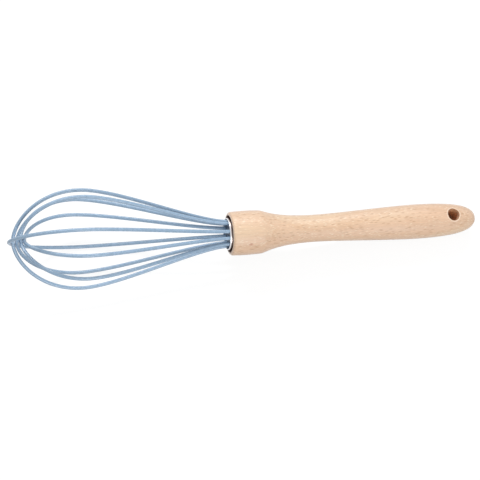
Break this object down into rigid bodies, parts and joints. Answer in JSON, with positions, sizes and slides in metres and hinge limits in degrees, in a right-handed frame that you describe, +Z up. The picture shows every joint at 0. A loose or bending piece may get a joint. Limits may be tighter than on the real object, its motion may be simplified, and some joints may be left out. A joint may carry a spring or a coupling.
{
  "type": "balloon whisk",
  "caption": "Balloon whisk: nested wire loops in silicone sleeves, set in a steel ferrule and a turned beech handle with a hang hole.",
  "frame": {"origin": "centre of the footprint's box, on the table on which the whisk lies at rest", "axes": "+X from the head to the butt of the handle, +Z up from the table, +Y across the whisk"},
  "size_m": [0.3046, 0.0638, 0.0636],
  "materials": {
    "beech": "sanded and lightly oiled beech, fine short flecks",
    "polished_steel": "polished stainless steel",
    "nylon": "moulded natural nylon",
    "resin": "dark potting resin, dull",
    "silicone": "satin silicone, powder blue",
    "spring_steel": "bright drawn wire"
  },
  "bodies": {
    "root": {"handle": "beech", "ferrule": "polished_steel", "wire_spacer": "nylon", "resin_seal": "resin", "silicone_sleeve_1": "silicone", "silicone_sleeve_2": "silicone", "silicone_sleeve_3": "silicone", "silicone_sleeve_4": "silicone", "silicone_sleeve_5": "silicone", "spring_wire_1": "spring_steel", "spring_wire_2": "spring_steel", "spring_wire_3": "spring_steel", "spring_wire_4": "spring_steel", "spring_wire_5": "spring_steel"}
  },
  "joints": []
}
